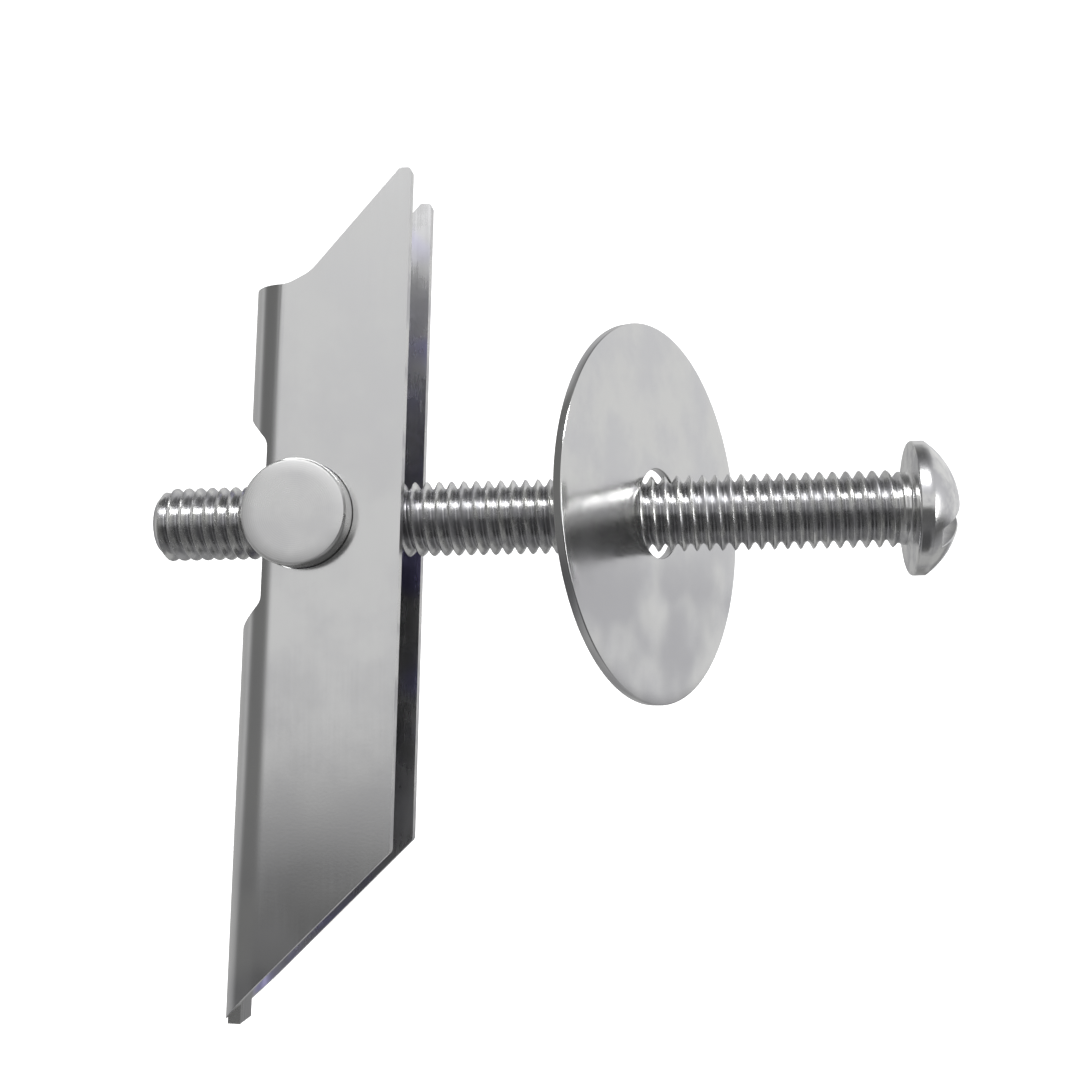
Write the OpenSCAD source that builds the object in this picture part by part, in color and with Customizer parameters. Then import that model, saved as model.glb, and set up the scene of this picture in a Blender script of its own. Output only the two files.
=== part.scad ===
// Gravity toggle bolt for hollow walls: a slotted screw, a wide washer, and a folded-sheet
// toggle that swings on its trunnion nut. The origin is on the screw's axis, in the plane
// under the head. +X runs along the screw toward the head, +Z is up the short arm.

/* [Screw] */
// Thread diameter
thread_d = 6; // [5:0.1:8]
// Thread pitch
thread_pitch = 1; // [0.8:0.05:1.25]
// Length under the head
screw_len = 60; // [50:1:80]
// Head diameter
head_d = 10.4; // [9.5:0.1:13]
// Head height
head_h = 3.7; // [3:0.1:5]
// Radius of the domed top
dome_r = 6.4; // [5.6:0.1:8]
// Width of the drive slot
slot_w = 1.6; // [1:0.1:2]
// Depth of the drive slot
slot_depth = 1.9; // [1:0.1:2.2]
// Turn of the drive slot about the screw's axis
slot_turn = 38; // [0:1:90]

/* [Washer] */
// Outer diameter
washer_d = 30; // [24:0.5:36]
// Thickness
washer_t = 0.7; // [0.5:0.1:2]
// Distance from the head's seat to the washer's centre
washer_x = 19.45; // [16:0.05:22]
// Lean on the thread, away from square
washer_lean = 25; // [0:1:30]

/* [Trunnion nut] */
// Distance from the screw's tip to the pivot
nut_from_tip = 13; // [12:0.5:15]
// Wall left beside the threaded cross-hole
nut_wall = 1.2; // [1:0.1:2]
// How far each end stands out of the channel
nut_proud = 2; // [0.8:0.05:3]
// Chamfer of the ends
nut_chamfer = 0.2; // [0.1:0.05:0.4]

/* [Toggle channel] */
// Thickness of the sheet
sheet_t = 1; // [0.8:0.1:1.4]
// Outer radius of the two bends
bend_r = 3.3; // [2:0.05:3.9]
// From the pivot to the open edges
edge_reach = 8; // [6.5:0.1:10]
// From the pivot up to the tip of the short arm
short_arm = 28; // [22:0.5:34]
// From the pivot down to the corner of the long arm's open edge
long_arm = 25.6; // [20:0.1:32]
// Angle of the short arm's slanted cut from the screw's axis
short_slant = 50; // [40:0.5:55]
// Angle of the long arm's slanted cut from the screw's axis
long_slant = 45.5; // [35:0.5:50]
// Width of the short arm's blunt tip
tip_flat = 0.95; // [0.3:0.05:2]
// From the short arm's tip down to the end of the web
web_short = 9.4; // [8:0.1:11]
// From the long arm's corner down to the end of the web's tongue
web_long = 13.9; // [13.5:0.1:16]
// Height of the shoulder beside the web's upper end
shoulder_h = 1; // [0.6:0.1:2]
// Width of the tongue
tongue_w = 2.5; // [1.5:0.1:4]
// Depth of the cut-out from the back of the web
cutout_depth = 2.2; // [1.2:0.05:3]
// Cut-out past the screw's thread, above
cutout_above = 5.2; // [3:0.1:6]
// Cut-out past the screw's thread, below
cutout_below = 6.1; // [4:0.1:7]
// How far each end of the cut-out slants back
cutout_slant = 2.3; // [0.5:0.1:3]
// Lean of the toggle on its pivot, short arm toward the head
toggle_lean = 1.5; // [0:0.5:5]

/* [Fits] */
// Radial gap between the thread's crests and the nut's cross-hole
thread_gap = 0.05; // [0.02:0.01:0.1]
// Radial gap between the nut and the holes in the channel
pivot_gap = 0.06; // [0.02:0.01:0.1]
// Gap between the thread and each side wall
side_gap = 0.4; // [0.2:0.05:0.8]
// Gap between the thread and the web of the folded channel
web_gap = 1.2; // [0.1:0.05:1.5]
// Gap between the thread and the leaning washer's hole
washer_gap = 0.07; // [0.03:0.01:0.3]

/* [Hidden] */
$fn = 96;
past = 1;
thread_r = thread_d / 2;
root_r = thread_r - 0.6134 * thread_pitch;
root_flat = thread_pitch / 4;
crest_flat = thread_pitch / 8;
tip_len = thread_r - root_r;
neck_len = thread_pitch;
turns = floor((screw_len - tip_len - neck_len) / thread_pitch);
nut_r = thread_r + nut_wall;
pivot_x = nut_from_tip - screw_len;
channel_w = thread_d + 2 * (side_gap + sheet_t);
web_back = thread_r + web_gap + sheet_t;
nut_len = channel_w + 2 * nut_proud;
washer_hole_d = thread_d / cos(washer_lean) + washer_t * tan(washer_lean) + 2 * washer_gap;

// One groove of the thread as seen in section, running up from z
function groove(z) = [
    [thread_r, z],
    [root_r, z + (thread_pitch - crest_flat - root_flat) / 2],
    [root_r, z + (thread_pitch - crest_flat + root_flat) / 2],
    [thread_r, z + thread_pitch - crest_flat],
];

// Half section of the shank from its tip at z = 0 up to the head
function shank_section() = concat(
    [[0, 0], [root_r, 0]],
    [for (i = [0 : turns - 1]) each groove(tip_len + i * thread_pitch)],
    [[thread_r, screw_len + past / 2], [0, screw_len + past / 2]]
);

// Domed head on the seat plane z = 0, with its drive slot
module head() {
    difference() {
        intersection() {
            cylinder(h = head_h, d = head_d);
            translate([0, 0, head_h - dome_r]) sphere(r = dome_r);
        }
        rotate([0, 0, slot_turn])
            translate([-slot_w / 2, -head_d, head_h - slot_depth])
                cube([slot_w, 2 * head_d, slot_depth + past]);
    }
}

module screw() {
    color("silver") rotate([0, 90, 0]) {
        head();
        translate([0, 0, -screw_len]) rotate_extrude() polygon(shank_section());
    }
}

module washer() {
    color("gainsboro") translate([-washer_x, 0, 0])
        rotate([0, 0, -washer_lean]) rotate([0, 90, 0]) difference() {
            cylinder(h = washer_t, d = washer_d, center = true);
            cylinder(h = washer_t + past, d = washer_hole_d, center = true);
        }
}

// Cross-pin along Y with chamfered ends and the screw's hole through it
module trunnion_nut() {
    half = nut_len / 2;
    flat_r = nut_r - nut_chamfer;
    color("lightgray") translate([pivot_x, 0, 0]) difference() {
        rotate([90, 0, 0]) rotate_extrude() polygon([
            [0, -half],
            [flat_r, -half],
            [nut_r, nut_chamfer - half],
            [nut_r, half - nut_chamfer],
            [flat_r, half],
            [0, half],
        ]);
        rotate([0, 90, 0]) cylinder(h = 2 * nut_r + past, r = thread_r + thread_gap, center = true);
    }
}

// U section with its web toward -X. inset shrinks it to the inner face
module u_section(inset) {
    r = bend_r - inset;
    half = channel_w / 2 - inset;
    back = web_back - inset;
    front = edge_reach + inset;
    for (side = [-1, 1]) translate([r - back, side * (half - r)]) circle(r = r);
    translate([-back, r - half]) square([r, 2 * (half - r)]);
    translate([r - back, -half]) square([front + back - r, 2 * half]);
}

// Side outline of the channel in X and Z, with both slanted ends
module side_outline() {
    web_top = short_arm - web_short;
    shoulder_z = web_top + shoulder_h;
    tip_x = edge_reach - tip_flat;
    shoulder_x = tip_x - (short_arm - shoulder_z) / tan(short_slant);
    behind = web_back + past;
    polygon([
        [edge_reach, -long_arm],
        [edge_reach, short_arm],
        [tip_x, short_arm],
        [shoulder_x, shoulder_z],
        [bend_r - web_back, web_top],
        [-behind, web_top],
        [-behind, -long_arm - (edge_reach + behind) * tan(long_slant)],
    ]);
}

// What is kept of the web below the long arm's slanted cut
module tongue() {
    translate([-web_back - past, -tongue_w / 2, -long_arm - web_long])
        cube([bend_r + past, tongue_w, web_long]);
}

// Outline of the notch that lets the screw through the web
module cutout_outline() {
    floor_x = cutout_depth - web_back;
    top = thread_r + cutout_above;
    bottom = -thread_r - cutout_below;
    polygon([
        [-web_back - past, top],
        [-web_back, top],
        [floor_x, top - cutout_slant],
        [floor_x, bottom + cutout_slant],
        [-web_back, bottom],
        [-web_back - past, bottom],
    ]);
}

module toggle_channel() {
    above = short_arm + past;
    below = long_arm + web_long + past;
    color("silver") translate([pivot_x, 0, 0]) rotate([0, toggle_lean, 0]) difference() {
        intersection() {
            translate([0, 0, -below]) linear_extrude(above + below) difference() {
                u_section(0);
                u_section(sheet_t);
            }
            union() {
                rotate([90, 0, 0]) linear_extrude(channel_w + past, center = true) side_outline();
                tongue();
            }
        }
        rotate([90, 0, 0]) linear_extrude(channel_w + past, center = true) cutout_outline();
        rotate([90, 0, 0]) cylinder(h = channel_w + past, r = nut_r + pivot_gap, center = true);
    }
}

screw();
washer();
toggle_channel();
trunnion_nut();
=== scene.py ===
"""Looks of a gravity toggle bolt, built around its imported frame.

The four pieces are a slotted screw, a wide washer, a folded-sheet toggle and the trunnion nut that it
swings on. Lengths inside the pieces' classes are in millimetres, in the frame's own axes: +X runs
along the screw toward its head and +Z up the toggle's short arm. Meshes are written in metres.
"""

import logging
import math
from dataclasses import dataclass, field
from enum import Enum

import bmesh
import bpy
import numpy as np
from mathutils import Matrix, Quaternion, Vector


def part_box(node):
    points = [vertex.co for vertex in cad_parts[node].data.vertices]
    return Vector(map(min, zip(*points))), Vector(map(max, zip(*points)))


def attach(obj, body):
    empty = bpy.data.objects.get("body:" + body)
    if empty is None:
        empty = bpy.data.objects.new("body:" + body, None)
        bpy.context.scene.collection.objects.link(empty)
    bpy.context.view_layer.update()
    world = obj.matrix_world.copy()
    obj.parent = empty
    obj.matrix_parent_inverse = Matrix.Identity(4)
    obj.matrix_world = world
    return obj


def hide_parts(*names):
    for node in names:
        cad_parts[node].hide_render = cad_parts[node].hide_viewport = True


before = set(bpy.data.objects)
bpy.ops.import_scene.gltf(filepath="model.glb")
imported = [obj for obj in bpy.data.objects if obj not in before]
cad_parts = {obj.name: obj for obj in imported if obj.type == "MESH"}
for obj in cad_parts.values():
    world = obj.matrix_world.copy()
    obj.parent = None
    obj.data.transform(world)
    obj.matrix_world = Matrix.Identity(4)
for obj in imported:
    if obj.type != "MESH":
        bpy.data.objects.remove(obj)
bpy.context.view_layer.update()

LOG = logging.getLogger("toggle_bolt")
MM = 0.001
WELD_MM = 0.0004
# How much large faces lead small ones in a weighted normal, where 50 is even and 100 the most.
FLAT_WEIGHT = 90

# Settings that several nodes share: a range with soft ends, and a blend of two colours.
SOFT = {"interpolation_type": "SMOOTHSTEP"}
BLEND = {"data_type": "RGBA"}
# Sockets of a blend: its two colours in, and the blended colour out.
FIRST, SECOND, BLENDED = 6, 7, 2

Grid = tuple[np.ndarray, np.ndarray]
Triple = tuple[float, float, float]
Tree = bpy.types.NodeTree
Socket = bpy.types.NodeSocket


class Axis(Enum):
    """The axis that a turned piece is turned about, as the row of its direction."""

    X = 0
    Y = 1


class Face(Enum):
    """Which of a piece's finishes a face takes, as its material index."""

    MAIN = 0
    CUT = 1
    INSIDE = 2


class Carve(Enum):
    """What one solid does to another, as the boolean's operation."""

    REMOVE = "DIFFERENCE"
    ADD = "UNION"
    KEEP = "INTERSECT"


# ---------------------------------------------------------------- surfaces


def node_box_mm(node: str) -> tuple[np.ndarray, np.ndarray]:
    """Lowest and highest corners of a node at rest.

    Args:
        node: Name of the node in the frame.

    Returns:
        The two corners, in millimetres.
    """
    low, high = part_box(node)
    return np.array(low) / MM, np.array(high) / MM


def quads(rows: int, columns: int, closed: bool = False) -> np.ndarray:
    """Corner numbers of the faces of a grid whose points are numbered row by row.

    Args:
        rows: Number of rows of points.
        columns: Number of points in a row.
        closed: True if each row runs round to its own first point.

    Returns:
        An array of shape (faces, 4). Face (i, j) joins points (i, j), (i, j + 1),
        (i + 1, j + 1) and (i + 1, j).
    """
    across = columns if closed else columns - 1
    i, j = np.meshgrid(np.arange(rows - 1), np.arange(across), indexing="ij")
    k = (j + 1) % columns
    corners = (i * columns + j, i * columns + k, (i + 1) * columns + k, (i + 1) * columns + j)
    return np.stack(corners, -1).reshape(-1, 4)


def grid(points: np.ndarray, closed: bool = False) -> Grid:
    """Points and faces of a surface given as rows of points.

    Args:
        points: Array of shape (rows, columns, 3).
        closed: True if each row runs round to its own first point.

    Returns:
        Flat points and the faces between them.
    """
    rows, columns = points.shape[:2]
    return points.reshape(-1, 3), quads(rows, columns, closed)


def turned(along: np.ndarray, radius: np.ndarray, angles: np.ndarray, axis: Axis) -> Grid:
    """Surface of revolution of a half section.

    A point of the section at distance a along the axis and r from it becomes, at angle t,
    (a, r cos t, r sin t) about X, or (r sin t, a, r cos t) about Y.

    Args:
        along: Distances along the axis, one for each point of the section.
        radius: Distances from the axis.
        angles: Angles of the rows' points, in radians.
        axis: The axis that it is turned about.

    Returns:
        The closed rings as a grid.
    """
    a = np.repeat(along[:, None], len(angles), 1)
    across = radius[:, None] * np.cos(angles)
    up = radius[:, None] * np.sin(angles)
    order = (a, across, up) if axis is Axis.X else (up, a, across)
    return grid(np.stack(order, -1), closed=True)


def arc(centre: tuple[float, float], radius: float, start: float, end: float, steps: int) -> np.ndarray:
    """Points on an arc, from start to end in degrees.

    Args:
        centre: Centre of the arc.
        radius: Its radius.
        start: Angle of the first point.
        end: Angle of the last point.
        steps: Number of steps between them.

    Returns:
        Array of shape (steps + 1, 2): centre + radius (cos t, sin t).
    """
    t = np.radians(np.linspace(start, end, steps + 1))
    return np.array(centre) + radius * np.stack((np.cos(t), np.sin(t)), -1)


def rounded(corners: list[Triple], steps: int = 6) -> np.ndarray:
    """Outline with each corner rounded.

    A corner with radius r becomes the arc that touches both of its sides: it starts and ends at
    distance r / tan(half the corner's angle) from the corner.

    Args:
        corners: (u, v, radius) for each corner, in order.
        steps: Steps in each arc.

    Returns:
        The outline's points, of shape (n, 2).
    """
    points = np.array([c[:2] for c in corners])
    outline = []
    for here, before, after, (_, _, radius) in zip(
        points, np.roll(points, 1, 0), np.roll(points, -1, 0), corners
    ):
        back, ahead = before - here, after - here
        back, ahead = back / np.linalg.norm(back), ahead / np.linalg.norm(ahead)
        half = math.acos(float(np.clip(back @ ahead, -1, 1))) / 2
        if radius <= 0 or half > math.radians(89):
            outline.append(here[None])
            continue
        middle = (back + ahead) / np.linalg.norm(back + ahead)
        centre = here + middle * radius / math.sin(half)
        first = here + back * radius / math.tan(half) - centre
        last = here + ahead * radius / math.tan(half) - centre
        t = np.linspace(0, 1, steps + 1)[:, None]
        spread = math.pi - 2 * half
        blend = (np.sin((1 - t) * spread) * first + np.sin(t * spread) * last) / math.sin(spread)
        outline.append(centre + blend)
    return np.concatenate(outline)


def build_mesh(name: str, parts: list[Grid], kinds: list[Face] | None = None) -> bpy.types.Object:
    """One closed mesh object from surfaces that meet at their edges.

    Args:
        name: Name of the object.
        parts: Points in millimetres and faces of each surface.
        kinds: The finish of each surface. All are MAIN where it is left out.

    Returns:
        The object, at the origin, with its place in its mesh.
    """
    offsets = np.cumsum([0] + [len(points) for points, _ in parts[:-1]])
    points = np.concatenate([p for p, _ in parts]) * MM
    faces = [f + o for (_, f), o in zip(parts, offsets)]
    mesh = bpy.data.meshes.new(name)
    mesh.from_pydata(points.tolist(), [], [row for f in faces for row in f.tolist()])
    chosen = kinds or [Face.MAIN] * len(parts)
    index = np.concatenate([np.full(len(f), kind.value) for f, kind in zip(faces, chosen)])
    mesh.polygons.foreach_set("material_index", index.astype(np.int32))
    close_up(mesh)
    return stand(name, mesh)


def close_up(mesh: bpy.types.Mesh) -> None:
    """Joins the surfaces of a mesh into one closed shell.

    Points closer than WELD_MM are merged, faces left with no area are removed, and all faces are
    turned outwards.

    Args:
        mesh: The mesh.
    """
    body = bmesh.new()
    body.from_mesh(mesh)
    bmesh.ops.remove_doubles(body, verts=body.verts, dist=WELD_MM * MM)
    bmesh.ops.dissolve_degenerate(body, edges=body.edges, dist=WELD_MM * MM)
    bmesh.ops.recalc_face_normals(body, faces=body.faces)
    body.to_mesh(mesh)
    body.free()


def stand(name: str, mesh: bpy.types.Mesh) -> bpy.types.Object:
    """Puts a mesh in the scene as an object at the origin.

    Args:
        name: Name of the object.
        mesh: Its mesh.

    Returns:
        The object.
    """
    piece = bpy.data.objects.new(name, mesh)
    bpy.context.scene.collection.objects.link(piece)
    return piece


def prism(name: str, outline: np.ndarray, half_width: float, kind: Face) -> bpy.types.Object:
    """Closed prism of an outline in X and Z, reaching half_width to each side along Y.

    Args:
        name: Name of the object.
        outline: Points (x, z) in millimetres, in order.
        half_width: Half the prism's length.
        kind: The finish of its faces, which a cut takes over.

    Returns:
        The prism as an object.
    """
    count = len(outline)
    x, z = np.concatenate([outline, outline]).T
    y = np.repeat([-half_width, half_width], count)
    points = np.stack((x, y, z), -1)
    mesh = bpy.data.meshes.new(name)
    sides = quads(2, count, closed=True).tolist()
    caps = [list(range(count)), list(range(2 * count - 1, count - 1, -1))]
    mesh.from_pydata((points * MM).tolist(), [], sides + caps)
    mesh.polygons.foreach_set("material_index", np.full(len(mesh.polygons), kind.value, np.int32))
    close_up(mesh)
    return stand(name, mesh)


def bake_modifiers(piece: bpy.types.Object) -> None:
    """Replaces a piece's mesh by what its modifiers make of it, and removes them.

    Args:
        piece: The piece.
    """
    bpy.context.view_layer.update()
    graph = bpy.context.evaluated_depsgraph_get()
    made = bpy.data.meshes.new_from_object(piece.evaluated_get(graph))
    piece.modifiers.clear()
    piece.data = made


def cut(piece: bpy.types.Object, tool: bpy.types.Object, how: Carve = Carve.REMOVE) -> None:
    """Cuts one solid with another, gives the cut faces the tool's finish, and removes the tool.

    Args:
        piece: The solid that is cut.
        tool: The solid that cuts it.
        how: What the tool does to the piece.
    """
    step = piece.modifiers.new("cut", "BOOLEAN")
    step.operation = how.value
    step.solver = "EXACT"
    step.object = tool
    step.material_mode = "INDEX"
    bake_modifiers(piece)
    bpy.data.objects.remove(tool)


def ease_edges(piece: bpy.types.Object, width: float, segments: int, limit: float) -> None:
    """Rounds sharp edges, as tumbling and plating leave them.

    Args:
        piece: The piece.
        width: Width of the rounding, in millimetres.
        segments: Number of faces across it.
        limit: Angle in degrees from which an edge is rounded.
    """
    step = piece.modifiers.new("ease", "BEVEL")
    step.width = width * MM
    step.segments = segments
    step.limit_method = "ANGLE"
    step.angle_limit = math.radians(limit)
    step.use_clamp_overlap = True
    step.miter_outer = "MITER_ARC"
    bake_modifiers(piece)


def smooth(piece: bpy.types.Object, limit: float, weighted: bool = False) -> None:
    """Shades a piece smooth, apart from edges sharper than limit degrees.

    Args:
        piece: The piece.
        limit: Angle in degrees from which an edge stays sharp.
        weighted: True if large flat faces keep their own normals.
    """
    mesh = piece.data
    mesh.polygons.foreach_set("use_smooth", np.ones(len(mesh.polygons), bool))
    mesh.set_sharp_from_angle(angle=math.radians(limit))
    if weighted:
        step = piece.modifiers.new("flat_first", "WEIGHTED_NORMAL")
        step.keep_sharp = True
        step.weight = FLAT_WEIGHT


# ---------------------------------------------------------------- finishes


def linear(colour: str) -> tuple[float, float, float, float]:
    """Linear colour of an sRGB hex value.

    Args:
        colour: The colour as #RRGGBB.

    Returns:
        Linear red, green and blue, and an alpha of 1.
    """
    parts = (int(colour[i : i + 2], 16) / 255 for i in (1, 3, 5))
    return (*(c / 12.92 if c <= 0.04045 else ((c + 0.055) / 1.055) ** 2.4 for c in parts), 1.0)


def add_node(
    tree: Tree,
    kind: str,
    settings: dict[str, object] | None = None,
    inputs: dict[str | int, object] | None = None,
) -> bpy.types.Node:
    """Adds one node with its settings, input values and incoming links.

    Args:
        tree: The node tree.
        kind: The node's type name.
        settings: Properties of the node.
        inputs: For each input, by name or number, a value or the socket that feeds it.

    Returns:
        The new node.
    """
    node = tree.nodes.new(kind)
    for name, value in (settings or {}).items():
        setattr(node, name, value)
    for name, value in (inputs or {}).items():
        if isinstance(value, Socket):
            tree.links.new(value, node.inputs[name])
        else:
            node.inputs[name].default_value = value
    return node


@dataclass(frozen=True)
class ZincPlate:
    """Bright zinc plate on steel, clear passivated.

    To the eye it is a light neutral grey metal: reflections are soft where the crystals are coarse
    and clearer where handling has burnished them, so the gloss drifts in clouds a few millimetres
    wide. Under it lie the marks of how the steel was made.

    Attributes:
        name: The finish's name, after how the steel under the zinc was worked.
        slot: The piece's slot; not used.
        light: Colour where the plate is burnished.
        dull: Colour where it isn't.
        gloss_low: Roughness where it is burnished.
        gloss_high: Roughness where it isn't.
        cloud_mm: Size of the clouds.
        cloud_edge: Values of the clouds at which dull starts and is full.
        gloss_edge: Values of clouds and grain at which rough starts and is full.
        grain_mm: Size along each axis of the marks of working, as coarse as they need to show.
        grain_height_mm: Height of those marks.
        grain_share: How much of the grain shows in the gloss.
        pit_mm: Size of the plate's pits, as coarse as they need to show.
        pit_height_mm: Height of the pits.
        rings_mm: Spacing of turning rings about the Y direction, or 0 without them.
        rings_about: A place on the rings' axis.
        root_shade: Colour of the painted shade in grooves about the X axis, or empty without it.
        root_shade_from_mm: Distance from the axis at which the painted shade is full.
        root_shade_to_mm: Distance at which it ends.
        lower_dark: Colour of darker patches toward the bottom, or empty without them.
        lower_dark_from_mm: Height at which they start.
        lower_dark_to_mm: Height below which they are full.
        lower_dark_size: Size of the patches, in clouds.
        lower_dark_edge: Values of the patches at which they start and are full.
        tint: Colour of soft violet patches, or empty without them.
        tint_shift_mm: How far the violet patches are shifted.
        tint_edge: Values of the patches at which the violet starts and is full.
    """

    name: str
    slot: str
    light: str
    dull: str
    gloss_low: float
    gloss_high: float
    cloud_mm: float = 4.0
    cloud_edge: tuple[float, float] = (0.36, 0.64)
    gloss_edge: tuple[float, float] = (0.45, 0.8)
    grain_mm: Triple = (0.12, 0.12, 4.0)
    grain_height_mm: float = 0.0008
    grain_share: float = 0.25
    pit_mm: float = 0.22
    pit_height_mm: float = 0.0012
    rings_mm: float = 0.0
    rings_about: Triple = (0.0, 0.0, 0.0)
    root_shade: str = ""
    root_shade_from_mm: float = 0.0
    root_shade_to_mm: float = 0.0
    lower_dark: str = ""
    lower_dark_from_mm: float = 0.0
    lower_dark_to_mm: float = 0.0
    lower_dark_size: float = 1.1
    lower_dark_edge: tuple[float, float] = (0.34, 0.62)
    tint: str = ""
    tint_shift_mm: Triple = (0.0, 0.0, 0.0)
    tint_edge: tuple[float, float] = (0.52, 0.74)

    def measured(self, tree: Tree, step_mm: Triple, shift_mm: Triple) -> Socket:
        """Coordinates on the piece in which one unit is step_mm long.

        Args:
            tree: The node tree.
            step_mm: Length of a unit along each axis.
            shift_mm: How far along each axis they are shifted.

        Returns:
            The socket that gives them.
        """
        place = add_node(tree, "ShaderNodeTexCoord")
        inputs = {
            "Vector": place.outputs["Object"],
            "Location": tuple(c / s for c, s in zip(shift_mm, step_mm)),
            "Scale": tuple(1 / (s * MM) for s in step_mm),
        }
        return add_node(tree, "ShaderNodeMapping", None, inputs).outputs["Vector"]

    def mottle(
        self,
        tree: Tree,
        step_mm: Triple,
        detail: float,
        rough: float = 0.5,
        shift_mm: Triple = (0.0, 0.0, 0.0),
    ) -> Socket:
        """Random patches on the piece, as values about 0.5.

        Args:
            tree: The node tree.
            step_mm: Size of the largest patches along each axis.
            detail: How many times they are broken into halves.
            rough: How strong each halving is beside the one before.
            shift_mm: How far the patches are shifted.

        Returns:
            The socket that gives them.
        """
        inputs = {
            "Vector": self.measured(tree, step_mm, shift_mm),
            "Scale": 1.0,
            "Detail": detail,
            "Roughness": rough,
        }
        return add_node(tree, "ShaderNodeTexNoise", None, inputs).outputs["Fac"]

    def distance(self, tree: Tree, centre: Triple, keep: Triple) -> Socket:
        """Distance in millimetres from an axis.

        Args:
            tree: The node tree.
            centre: A place on the axis, in millimetres.
            keep: 0 along the axis and 1 across it.

        Returns:
            The socket that gives it.
        """
        place = add_node(tree, "ShaderNodeTexCoord")
        inputs = {
            "Vector": place.outputs["Object"],
            "Location": tuple(-c * k for c, k in zip(centre, keep)),
            "Scale": tuple(k / MM for k in keep),
        }
        across = add_node(tree, "ShaderNodeMapping", None, inputs).outputs["Vector"]
        length = add_node(tree, "ShaderNodeVectorMath", {"operation": "LENGTH"}, {0: across})
        return length.outputs["Value"]

    def colour(self, tree: Tree, clouds: Socket) -> Socket:
        """Plate colour: light where burnished, dull where not, with any darker patches lower down,
        violet patches and painted shade in thread roots.

        Args:
            tree: The node tree.
            clouds: The pattern of the burnishing.

        Returns:
            The socket that gives the colour.
        """
        low, high = self.cloud_edge
        limits = {"Value": clouds, "From Min": low, "From Max": high}
        amount = add_node(tree, "ShaderNodeMapRange", SOFT, limits).outputs["Result"]
        blend = {"Factor": amount, FIRST: linear(self.light), SECOND: linear(self.dull)}
        plate = add_node(tree, "ShaderNodeMix", BLEND, blend).outputs[BLENDED]
        # Darker patches toward the bottom.
        if self.lower_dark:
            plate = self.darken_lower(tree, plate)
        if self.tint:
            plate = self.violet_patches(tree, plate)
        # Painted shade darkens the roots of a thread.
        if self.root_shade:
            plate = self.shade_roots(tree, plate)
        return plate

    def darken_lower(self, tree: Tree, plate: Socket) -> Socket:
        """Darker patches that set in below a height.

        Their amount is the patches' value times the share of the way down to lower_dark_to_mm.

        Args:
            tree: The node tree.
            plate: The colour that they lie on.

        Returns:
            The socket that gives the colour.
        """
        place = add_node(tree, "ShaderNodeTexCoord")
        parts = add_node(tree, "ShaderNodeSeparateXYZ", None, {0: place.outputs["Object"]})
        limits = {
            "Value": parts.outputs["Z"],
            "From Min": self.lower_dark_to_mm * MM,
            "From Max": self.lower_dark_from_mm * MM,
            "To Min": 1.0,
            "To Max": 0.0,
        }
        down = add_node(tree, "ShaderNodeMapRange", SOFT, limits).outputs["Result"]
        patches = self.mottle(tree, (self.cloud_mm * self.lower_dark_size,) * 3, detail=2.0, rough=0.4)
        low, high = self.lower_dark_edge
        limits = {"Value": patches, "From Min": low, "From Max": high}
        spots = add_node(tree, "ShaderNodeMapRange", SOFT, limits).outputs["Result"]
        amount = add_node(tree, "ShaderNodeMath", {"operation": "MULTIPLY"}, {0: spots, 1: down})
        blend = {"Factor": amount.outputs[0], FIRST: plate, SECOND: linear(self.lower_dark)}
        return add_node(tree, "ShaderNodeMix", BLEND, blend).outputs[BLENDED]

    def violet_patches(self, tree: Tree, plate: Socket) -> Socket:
        """Soft patches of blue-violet tint.

        Args:
            tree: The node tree.
            plate: The colour that they lie on.

        Returns:
            The socket that gives the colour.
        """
        film = self.mottle(tree, (self.cloud_mm,) * 3, detail=1.0, shift_mm=self.tint_shift_mm)
        low, high = self.tint_edge
        limits = {"Value": film, "From Min": low, "From Max": high}
        amount = add_node(tree, "ShaderNodeMapRange", SOFT, limits).outputs["Result"]
        blend = {"Factor": amount, FIRST: plate, SECOND: linear(self.tint)}
        return add_node(tree, "ShaderNodeMix", BLEND, blend).outputs[BLENDED]

    def shade_roots(self, tree: Tree, plate: Socket) -> Socket:
        """Painted shade in the bottom of grooves about the X axis: darker toward the axis.

        Args:
            tree: The node tree.
            plate: The colour that it lies on.

        Returns:
            The socket that gives the colour.
        """
        # Painted shade: the colour darkens toward the axis and is full at the thread's roots.
        limits = {
            "Value": self.distance(tree, (0.0, 0.0, 0.0), (0.0, 1.0, 1.0)),
            "From Min": self.root_shade_from_mm,
            "From Max": self.root_shade_to_mm,
            "To Min": 1.0,
            "To Max": 0.0,
        }
        amount = add_node(tree, "ShaderNodeMapRange", SOFT, limits).outputs["Result"]
        blend = {"Factor": amount, FIRST: plate, SECOND: linear(self.root_shade)}
        return add_node(tree, "ShaderNodeMix", BLEND, blend).outputs[BLENDED]

    def rings(self, tree: Tree) -> Socket:
        """Turning rings: the sine of the distance from their axis, one wave for each spacing.

        Args:
            tree: The node tree.

        Returns:
            The socket that gives their height, from -1 to 1.
        """
        radius = self.distance(tree, self.rings_about, (1.0, 0.0, 1.0))
        turns = {0: radius, 1: 2 * math.pi / self.rings_mm}
        angle = add_node(tree, "ShaderNodeMath", {"operation": "MULTIPLY"}, turns).outputs[0]
        return add_node(tree, "ShaderNodeMath", {"operation": "SINE"}, {0: angle}).outputs[0]

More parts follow.
